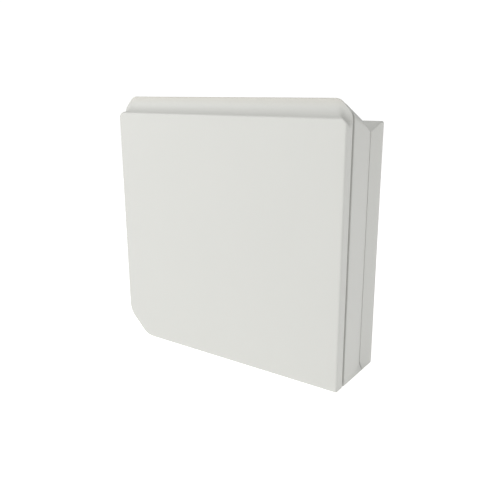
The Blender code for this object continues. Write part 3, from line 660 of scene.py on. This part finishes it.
def columns(places, start, end, radius):
    """Round bars along the depth, to join to a shell or to cut from it."""
    return cylinders([(along_depth(x, z, start), radius, end - start) for x, z in places])


class ANTENNA_OT_radome(bpy.types.Operator):
    """Build the front cover with its flat face and coved top"""
    bl_idname = "antenna.radome"
    bl_label = "Front Radome"

    border: length("Border", "Thickness of the cover's rim", 0.0090)
    boss_radius: length("Boss Radius", "Radius of the screw bosses", 0.0065)
    boss_step: length("Boss Step", "How far the bosses stay below the rim", 0.0002)
    tip_room: length("Tip Room", "Space past the screws' tips", 0.0005)

    def execute(self, context):
        s = housing_settings()
        outer = filleted([(0, 0.012, 0), (0, 0, s.face_round), (RADOME_BACK, 0, 0.0007),
                          (RADOME_BACK, self.border, 0.0004), (s.wall, self.border, 0.0010),
                          (s.wall, 0.014, 0)], 7)
        radome = shell_body("radome", s, spread(outer, 0.0006), False)
        places = places_of("case_screw_")
        combined(radome, "UNION", columns(places, s.wall - OVERCUT, RADOME_BACK - self.boss_step,
                                          self.boss_radius))
        tip = depth_span("case_screw_1")[0] - self.tip_room
        combined(radome, "DIFFERENCE", columns(places, tip, RADOME_BACK + OVERCUT, SCREW_TIP_HOLE))
        placed(radome, "front_radome")
        return {"FINISHED"}


class ANTENNA_OT_frame(bpy.types.Operator):
    """Build the middle of the housing with its front flange and the ledge of the reflector"""
    bl_idname = "antenna.frame"
    bl_label = "Frame"

    flange_back: length("Flange Back", "Rear depth of the front flange", 0.0213)
    flange_width: length("Flange Width", "Width of the front flange", 0.0215)
    ledge_front: length("Ledge Front", "Front depth of the reflector ledge", 0.0403)
    ledge_back: length("Ledge Back", "Rear depth of the reflector ledge", 0.0433)
    ledge_width: length("Ledge Width", "Width of the reflector ledge", 0.0205)

    def execute(self, context):
        s = housing_settings()
        section = filleted([
            (FRAME_FRONT, 0, 0.0011), (s.side_break, 0, 0), (FRAME_BACK, 0, 0.0005),
            (FRAME_BACK, s.wall, 0.0004), (self.ledge_back, s.wall, 0.0006),
            (self.ledge_back, self.ledge_width, 0.0004), (self.ledge_front, self.ledge_width, 0.0004),
            (self.ledge_front, s.wall, 0.0006), (self.flange_back, s.wall, 0.0006),
            (self.flange_back, self.flange_width, 0.0004), (FRAME_FRONT, self.flange_width, 0.0004)], 5)
        body = shell_body("frame", s, section, True)
        places = places_of("case_screw_")
        combined(body, "UNION", columns(places, self.ledge_back - OVERCUT, FRAME_BACK - SEAL_GAP,
                                        COLUMN_RADIUS))
        combined(body, "DIFFERENCE", columns(places, FRAME_FRONT - OVERCUT, FRAME_BACK + OVERCUT,
                                             SCREW_HOLE))
        combined(body, "DIFFERENCE", columns(places_of("reflector_screw_"), self.ledge_front - OVERCUT,
                                             self.ledge_back + OVERCUT, SMALL_SCREW_HOLE))
        placed(body, "antenna_frame")
        return {"FINISHED"}


class ANTENNA_OT_rear_case(bpy.types.Operator):
    """Build the rear case with its screw columns, seats and holes"""
    bl_idname = "antenna.rear_case"
    bl_label = "Rear Case"

    line_inset: length("Line Inset", "How far in the moulded line on the back runs", 0.0225)
    line_depth: length("Line Depth", "Depth of the moulded line on the back", 0.0006)

    def execute(self, context):
        s = housing_settings()
        inside = CASE_BACK - s.wall
        line, sunk = self.line_inset, CASE_BACK - self.line_depth
        section = filleted([
            (CASE_BACK, 0.030, 0), (CASE_BACK, line + 0.0022, 0.0003), (sunk, line + 0.0016, 0.0003),
            (sunk, line + 0.0006, 0.0003), (CASE_BACK, line, 0.0003), (CASE_BACK, 0, s.back_round),
            (s.rim_depth, 0, 0), (CASE_FRONT, 0, 0.0005), (CASE_FRONT, s.wall, 0.0004),
            (s.rim_depth, s.wall, 0), (inside, s.wall, 0.0010), (inside, 0.012, 0)], 7)
        case = shell_body("case", s, section, False)
        places = places_of("case_screw_")
        combined(case, "UNION", columns(places, CASE_FRONT + SEAL_GAP, inside + OVERCUT, COLUMN_RADIUS))
        combined(case, "DIFFERENCE", columns(places, CASE_FRONT - OVERCUT, inside, SCREW_HOLE))
        combined(case, "DIFFERENCE", columns(places, CASE_BACK - SEAT_DEPTH, CASE_BACK + OVERCUT,
                                             SCREW_SEAT))
        for nodes, radius in (("bracket_bolt_", BOLT_HOLE), ("connector_body", JACK_HOLE),
                              ("vent_plug", VENT_HOLE)):
            holes = columns(places_of(nodes), inside - OVERCUT, CASE_BACK + OVERCUT, radius)
            combined(case, "DIFFERENCE", holes)
        placed(case, "rear_case")
        return {"FINISHED"}


class ANTENNA_OT_seals(bpy.types.Operator):
    """Build the two silicone seals of the housing"""
    bl_idname = "antenna.seals"
    bl_label = "Housing Seals"

    front_recess: length("Front Recess", "How far in the radome seal lies", 0.0042)
    front_width: length("Front Width", "Width of the radome seal", 0.0038)
    rear_recess: length("Rear Recess", "How far in the housing seal lies", 0.0011)
    rear_width: length("Rear Width", "Width of the housing seal", 0.0016)

    def execute(self, context):
        s = housing_settings()
        for node, recess, width, bend in (("radome_gasket", self.front_recess, self.front_width, 0.0014),
                                            ("housing_gasket", self.rear_recess, self.rear_width, 0.0003)):
            start, end = depth_span(node)
            section = filleted([(start, recess, bend), (end, recess, bend), (end, recess + width, bend),
                                (start, recess + width, bend)], 5)
            placed(shell_body(node, s, section, True), node)
        return {"FINISHED"}


class ANTENNA_OT_stage(bpy.types.Operator):
    """Set up the floor, the studio lights and the camera"""
    bl_idname = "antenna.stage"
    bl_label = "Stage"

    floor_side: length("Floor Side", "Side of the square floor", 60.0)

    def execute(self, context):
        self.add_floor()
        self.add_world()
        self.add_light("key_light", (-1.45, -1.55, 1.25), 1.2, 20.0)
        self.add_light("top_light", (0.15, -0.35, 1.9), 1.8, 5.0)
        self.add_camera()
        context.scene.view_settings.view_transform = "Standard"
        return {"FINISHED"}

    def add_floor(self):
        bm = bmesh.new()
        bmesh.ops.create_grid(bm, x_segments=1, y_segments=1, size=self.floor_side / 2)
        floor = solid("floor", bm)
        made = Finish("pale_floor", 0.85)
        grain = made.group("Surface Grain", Grain_Scale=even(300.0), Mottle_Scale=even(2.0))
        made.colour_from(made.mix(grain.outputs["Mottle"], (0.955, 0.955, 0.955), (0.965, 0.965, 0.965)))
        made.shader.inputs["Emission Color"].default_value = (1.0, 1.0, 1.0, 1.0)
        made.shader.inputs["Emission Strength"].default_value = 0.62
        floor.data.materials.append(made.material)

    def add_world(self):
        """White surroundings: bright where the camera looks at them, softer as a light."""
        world = bpy.data.worlds.new("studio")
        bpy.context.scene.world = world
        world.use_nodes = True
        tree = world.node_tree
        background = tree.nodes["Background"]
        background.inputs["Color"].default_value = (1.0, 1.0, 1.0, 1.0)
        path = tree.nodes.new("ShaderNodeLightPath")
        strength = tree.nodes.new("ShaderNodeMapRange")
        strength.inputs["To Min"].default_value = 0.46
        strength.inputs["To Max"].default_value = 1.05
        tree.links.new(path.outputs["Is Camera Ray"], strength.inputs["Value"])
        tree.links.new(strength.outputs["Result"], background.inputs["Strength"])

    def add_light(self, name, place, side, power):
        """Square soft box that looks at the middle of the housing."""
        light = bpy.data.lights.new(name, "AREA")
        light.shape = "SQUARE"
        light.size = side
        light.energy = power
        obj = bpy.data.objects.new(name, light)
        target = Vector((0, FACE_Y, RIDGE_TOP / 2))
        obj.location = place
        obj.rotation_euler = (target - Vector(place)).to_track_quat("-Z", "Y").to_euler()
        bpy.context.scene.collection.objects.link(obj)

    def add_camera(self):
        s = bpy.context.scene.antenna_stage
        ahead = Vector((-math.sin(s.yaw) * math.cos(s.pitch), math.cos(s.yaw) * math.cos(s.pitch),
                        -math.sin(s.pitch)))
        level = Vector((math.cos(s.yaw), math.sin(s.yaw), 0))
        upright = level.cross(ahead)
        right = math.cos(s.roll) * level + math.sin(s.roll) * upright
        up = math.cos(s.roll) * upright - math.sin(s.roll) * level
        width = 2 * HALF_WIDTH
        matrix = Matrix((right, up, -ahead)).transposed().to_4x4()
        matrix.translation = Vector(s.place) * width + Vector((0, FACE_Y, 0))
        data = bpy.data.cameras.new("studio_camera")
        data.sensor_width = 36.0
        data.lens = s.lens
        data.clip_start = 0.01
        camera = bpy.data.objects.new("studio_camera", data)
        camera.matrix_world = matrix
        bpy.context.scene.collection.objects.link(camera)
        bpy.context.scene.camera = camera


def threads(radius, start, end, pitch=0.0010, deep=0.0004):
    """(radius, height) points of the ridges between two heights."""
    count = int(round(abs(end - start) / pitch))
    step = (end - start) / count
    points = []
    for number in range(count):
        base = start + number * step
        points += [(radius - deep, base + step * 0.10), (radius, base + step * 0.45),
                   (radius, base + step * 0.60), (radius - deep, base + step * 0.95)]
    return points


def hexagon(radius):
    return [(radius * math.cos(math.tau * i / 6), radius * math.sin(math.tau * i / 6)) for i in range(6)]


def hex_body(name, section, place, corner, start, long):
    """Turned ring or shaft, cut down to a hexagon between its start and its length."""
    body = solid(name, turned(section, place))
    keep = solid("hexagon", prism(hexagon(corner), long, place @ Matrix.Translation((0, 0, start))))
    return combined(body, "INTERSECT", keep)


class ANTENNA_OT_case_screws(bpy.types.Operator):
    """Build the six long housing screws with threads and hexagon sockets"""
    bl_idname = "antenna.case_screws"
    bl_label = "Housing Screws"

    shank: length("Shank", "Radius of the shank", 0.0019)
    head: length("Head", "Radius of the head", 0.0040)
    head_height: length("Head Height", "Height of the head", 0.0030)
    socket: length("Socket", "Corner radius of the hexagon socket", 0.0021)
    thread: length("Thread", "Length of the thread", 0.0120)

    def execute(self, context):
        for node in sorted(SLOT_OF):
            if not node.startswith("case_screw_"):
                continue
            start, end = depth_span(node)
            middle = centre(node)
            place = along_depth(middle.x, middle.z, start)
            long = end - start
            under = long - self.head_height
            round_top = [(self.head - 0.0008 + x, long - 0.0008 + y)
                         for x, y in arc((0, 0), 0.0008, 0, 90, 4)]
            section = [(0, 0), (self.shank * 0.5, 0), *threads(self.shank, 0.0006, self.thread),
                       (self.shank, self.thread + 0.0004), (self.shank, under), (self.head, under),
                       *round_top, (0, long)]
            screw = solid(node, turned(section, place, 28))
            deep = place @ Matrix.Translation((0, 0, long - 0.0018))
            combined(screw, "DIFFERENCE", solid("socket", prism(hexagon(self.socket), 0.0030, deep)))
            placed(screw, node)
        return {"FINISHED"}


class ANTENNA_OT_u_bolts(bpy.types.Operator):
    """Bend the two U-bolts, with rolled threads on both legs"""
    bl_idname = "antenna.u_bolts"
    bl_label = "U-Bolts"

    rod: length("Rod", "Radius of the rod", 0.0029)
    thread: length("Thread", "Length of the thread on each leg", 0.0240)

    def execute(self, context):
        for node in ("u_bolt_lower", "u_bolt_upper"):
            low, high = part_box(node)
            leg = (high.x - low.x) / 2 - self.rod
            bend = high.y - self.rod - leg
            z = (low.z + high.z) / 2
            straight = [(self.rod - 0.0007, 0.0), *threads(self.rod, 0.0003, self.thread),
                        (self.rod, self.thread + 0.0004), (self.rod, bend - low.y)]
            rings = [self.ring((-leg, low.y + far, z), (0, 1, 0), radius) for radius, far in straight]
            for x, y in arc((0, 0), 1.0, 180, 0, 40)[1:-1]:
                rings.append(self.ring((leg * x, bend + leg * y, z), (y, -x, 0), self.rod))
            rings += [self.ring((leg, low.y + far, z), (0, -1, 0), radius)
                      for radius, far in reversed(straight)]
            bm = swept(rings)
            bmesh.ops.holes_fill(bm, edges=[edge for edge in bm.edges if edge.is_boundary], sides=0)
            placed(solid(node, bm), node)
        return {"FINISHED"}

    def ring(self, middle, ahead, radius):
        """Circle of points round a place on the rod."""
        side = Vector(ahead).cross((0, 0, 1))
        return [Vector(middle) + radius * (x * side + Vector((0, 0, y)))
                for x, y in arc((0, 0), 1.0, 0, 360, 24)[:-1]]


class ANTENNA_OT_nuts(bpy.types.Operator):
    """Build the chamfered hexagon nuts of the U-bolts, the pivot and the tilt lock"""
    bl_idname = "antenna.nuts"
    bl_label = "Nuts"

    chamfer: length("Chamfer", "Chamfer at the nuts' corners", 0.0007)

    def execute(self, context):
        for node in sorted(SLOT_OF):
            if node.startswith("u_bolt_nut_"):
                self.add_nut(node, 1, 0.0031)
            elif node.startswith("lock_nut_"):
                self.add_nut(node, 0, 0.0031)
            elif node == "pivot_nut":
                self.add_nut(node, 0, 0.0041)
        return {"FINISHED"}

    def add_nut(self, node, axis, hole):
        """Nut along X (0) or Y (1) that fills its CAD node's box."""
        low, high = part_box(node)
        start = centre(node)
        start[axis] = low[axis]
        height = high[axis] - low[axis]
        corner = (high.z - low.z) / 2
        cut = self.chamfer
        washer = height * 0.16
        direction = [(1, 0, 0), (0, 1, 0)][axis]
        place = facing(direction, start)
        section = [(hole, 0), (corner, 0), (corner, washer), (hole, washer), (hole, 0)]
        flange = eased(solid("flange", turned(section, place)), 0.0002)
        section = [(hole, washer / 2), (corner * 0.95, washer / 2), (corner * 0.95, height - cut),
                   (corner * 0.95 - 2 * cut, height), (hole + cut, height), (hole, height - cut),
                   (hole, washer / 2)]
        nut = hex_body(node, section, place, corner * 0.95, 0, height)
        placed(combined(nut, "UNION", flange), node)


class ANTENNA_OT_connector(bpy.types.Operator):
    """Build the threaded bulkhead jack"""
    bl_idname = "antenna.connector"
    bl_label = "Coaxial Jack"

    barrel: length("Barrel", "Radius of the threaded barrel", 0.0078)
    bore: length("Bore", "Radius of the socket", 0.0052)
    flange_depth: length("Flange Depth", "Depth where the hexagon flange starts", 0.0869)
    flange_height: length("Flange Height", "Thickness of the hexagon flange", 0.0036)

    def execute(self, context):
        node = "connector_body"
        start, end = depth_span(node)
        middle = centre(node)
        place = along_depth(middle.x, middle.z, 0)
        flange, top = self.flange_depth, self.flange_depth + self.flange_height
        section = [(0.0022, start), (0.0034, start), (0.0036, start + 0.0003), (0.0036, flange - 0.002),
                   (0.0060, flange - 0.002), (0.0060, top - 0.001), (self.barrel, top - 0.001),
                   *threads(self.barrel, top + 0.0004, end - 0.0010, 0.00106, 0.0005),
                   (self.barrel - 0.0008, end - 0.0002), (self.bore + 0.0004, end),
                   (self.bore, end - 0.0004), (self.bore, end - 0.0120), (0.0022, end - 0.0120),
                   (0.0022, start)]
        body = solid(node, turned(section, place, 48))
        ring = [(0.0058, flange), (0.0096, flange), (0.0100, flange + 0.0004), (0.0100, top),
                (0.0058, top), (0.0058, flange)]
        hexed = hex_body("flange", ring, place, 0.0100, flange, self.flange_height)
        placed(combined(body, "UNION", hexed), node)
        self.add_nut("connector_nut", place)
        return {"FINISHED"}

    def add_nut(self, node, place):
        start, end = depth_span(node)
        low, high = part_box(node)
        corner = (high.x - low.x) / 2
        hole = self.barrel + 0.0003
        section = [(hole, start), (corner - 0.0012, start), (corner, start + 0.0008),
                   (corner, end - 0.0008), (corner - 0.0012, end), (hole, end), (hole, start)]
        placed(hex_body(node, section, place, corner, start, end - start), node)


class ANTENNA_OT_vent(bpy.types.Operator):
    """Build the breather plug with its fluted cap"""
    bl_idname = "antenna.vent"
    bl_label = "Vent Plug"

    flutes: bpy.props.IntProperty(name="Flutes", description="Grip flutes round the cap", default=18, min=3)
    stem: length("Stem", "Radius of the stem", 0.0038)
    cap: length("Cap", "Radius of the cap", 0.0078)
    cap_front: length("Cap Front", "Depth where the cap starts", 0.0968)

    def execute(self, context):
        node = "vent_plug"
        start, end = depth_span(node)
        middle = centre(node)
        place = along_depth(middle.x, middle.z, 0)
        round_top = [(self.cap - 0.0012 + x, end - 0.0012 + y) for x, y in arc((0, 0), 0.0012, 0, 90, 5)]
        section = [(0, start), (self.stem - 0.0005, start), *threads(self.stem, start + 0.0003, 0.0950),
                   (self.stem, 0.0952), (self.stem, self.cap_front), (self.cap, self.cap_front),
                   *round_top, (0.0046, end), (0.0042, end - 0.0004), (0, end - 0.0004)]
        plug = solid(node, turned(section, place, 54))
        around = [(self.cap * math.cos(math.tau * i / self.flutes),
                   self.cap * math.sin(math.tau * i / self.flutes)) for i in range(self.flutes)]
        grooves = [(place @ Matrix.Translation((x * 1.04, y * 1.04, self.cap_front - 0.001)), 0.0006, 0.0050)
                   for x, y in around]
        combined(plug, "DIFFERENCE", cylinders(grooves, 12))
        placed(plug, node)
        return {"FINISHED"}


class KeptParts:
    """Execute for an operator whose parts keep their CAD mesh and get their finish."""
    parts = ()

    def execute(self, context):
        nodes = [node for node in sorted(frame["nodes"]) if node.startswith(self.parts)]
        if not nodes:
            raise RuntimeError(f"{self.bl_label}: the frame has none of these parts")
        for node in nodes:
            keep_node(node)
        return {"FINISHED"}


class ANTENNA_OT_reflector(KeptParts, bpy.types.Operator):
    """Finish the reflector plate and its screws"""
    bl_idname = "antenna.reflector"
    bl_label = "Reflector"
    parts = ("reflector_",)


class ANTENNA_OT_feed(KeptParts, bpy.types.Operator):
    """Finish the feed board and its copper lines"""
    bl_idname = "antenna.feed"
    bl_label = "Feed Board"
    parts = ("feed_",)


class ANTENNA_OT_patches(KeptParts, bpy.types.Operator):
    """Finish the driven and director patches and their posts"""
    bl_idname = "antenna.patches"
    bl_label = "Patches"
    parts = ("driven_patch_", "director_patch_", "stack_post_")


class ANTENNA_OT_cable(KeptParts, bpy.types.Operator):
    """Finish the inner cable with the jack's contact and insulator"""
    bl_idname = "antenna.cable"
    bl_label = "Inner Cable"
    parts = ("jumper_cable", "connector_contact", "connector_insulator")


class ANTENNA_OT_small_seals(KeptParts, bpy.types.Operator):
    """Finish the seals of the jack and the vent"""
    bl_idname = "antenna.small_seals"
    bl_label = "Small Seals"
    parts = ("connector_seal", "vent_seal")


class ANTENNA_OT_brackets(KeptParts, bpy.types.Operator):
    """Finish the backing plate and both bracket halves"""
    bl_idname = "antenna.brackets"
    bl_label = "Brackets"
    parts = ("backing_plate", "panel_bracket", "mast_bracket")


class ANTENNA_OT_saddles(KeptParts, bpy.types.Operator):
    """Finish the two cast saddles"""
    bl_idname = "antenna.saddles"
    bl_label = "Saddles"
    parts = ("saddle_",)


class ANTENNA_OT_bolts(KeptParts, bpy.types.Operator):
    """Finish the bolts of the bracket, the pivot and the tilt lock"""
    bl_idname = "antenna.bolts"
    bl_label = "Bracket Bolts"
    parts = ("bracket_bolt_", "lock_bolt_", "pivot_bolt")


PIECE_OPERATORS = (ANTENNA_OT_radome, ANTENNA_OT_frame, ANTENNA_OT_rear_case, ANTENNA_OT_seals,
                   ANTENNA_OT_case_screws, ANTENNA_OT_u_bolts, ANTENNA_OT_nuts, ANTENNA_OT_connector,
                   ANTENNA_OT_vent, ANTENNA_OT_reflector, ANTENNA_OT_feed, ANTENNA_OT_patches,
                   ANTENNA_OT_cable, ANTENNA_OT_small_seals, ANTENNA_OT_brackets, ANTENNA_OT_saddles,
                   ANTENNA_OT_bolts)


class ANTENNA_PT_panel(bpy.types.Panel):
    """Lists the antenna's pieces and settings in the sidebar"""
    bl_idname = "ANTENNA_PT_panel"
    bl_label = "Panel Antenna"
    bl_space_type = "VIEW_3D"
    bl_region_type = "UI"
    bl_category = "Antenna"

    def draw(self, context):
        layout = self.layout
        for operator in (*PIECE_OPERATORS, ANTENNA_OT_stage):
            layout.operator(operator.bl_idname)
        for settings in (context.scene.antenna_housing, context.scene.antenna_finishes,
                         context.scene.antenna_stage):
            box = layout.box()
            for key in settings.__annotations__:
                box.prop(settings, key)


SETTINGS = {"antenna_housing": AntennaHousingSettings, "antenna_finishes": AntennaFinishSettings,
            "antenna_stage": AntennaStageSettings}
CLASSES = (*SETTINGS.values(), *PIECE_OPERATORS, ANTENNA_OT_stage, ANTENNA_PT_panel)


def register():
    for cls in CLASSES:
        bpy.utils.register_class(cls)
    for name, settings in SETTINGS.items():
        setattr(bpy.types.Scene, name, bpy.props.PointerProperty(type=settings))


def unregister():
    for name in SETTINGS:
        delattr(bpy.types.Scene, name)
    for cls in reversed(CLASSES):
        bpy.utils.unregister_class(cls)


def run(operator):
    """Call an operator through bpy.ops by its bl_idname."""
    group, name = operator.bl_idname.split(".")
    getattr(getattr(bpy.ops, group), name)()


def main():
    register()
    run(ANTENNA_OT_stage)
    for operator in PIECE_OPERATORS:
        run(operator)


if __name__ == "__main__":
    main()
